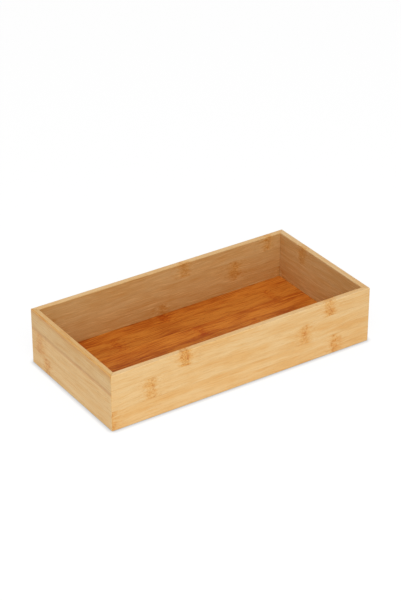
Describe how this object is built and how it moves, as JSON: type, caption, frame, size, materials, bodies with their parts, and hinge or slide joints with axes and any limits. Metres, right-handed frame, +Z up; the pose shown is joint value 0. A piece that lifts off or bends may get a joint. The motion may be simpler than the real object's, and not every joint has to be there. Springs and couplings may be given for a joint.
{
  "type": "storage box",
  "caption": "Long open-top bamboo tray box with mitred corners and a floor panel held in a groove, for sorting small things on a shelf or in a drawer.",
  "frame": {"origin": "centre of the box on the surface that it stands on", "axes": "+X along the long walls, the front wall faces -Y, +Z up through the open top"},
  "size_m": [0.3, 0.15, 0.06],
  "materials": {
    "wall_bamboo": "strip bamboo, sanded smooth under a thin satin clear coat",
    "floor_bamboo": "strip bamboo, sanded smooth under a thin satin clear coat"
  },
  "bodies": {
    "root": {"front_upper_strip": "wall_bamboo", "front_middle_strip": "wall_bamboo", "front_lower_strip": "wall_bamboo", "back_upper_strip": "wall_bamboo", "back_middle_strip": "wall_bamboo", "back_lower_strip": "wall_bamboo", "left_upper_strip": "wall_bamboo", "left_middle_strip": "wall_bamboo", "left_lower_strip": "wall_bamboo", "right_upper_strip": "wall_bamboo", "right_middle_strip": "wall_bamboo", "right_lower_strip": "wall_bamboo", "floor_strip_1": "floor_bamboo", "floor_strip_2": "floor_bamboo", "floor_strip_3": "floor_bamboo", "floor_strip_4": "floor_bamboo", "floor_strip_5": "floor_bamboo", "floor_strip_6": "floor_bamboo", "floor_strip_7": "floor_bamboo"}
  },
  "joints": []
}
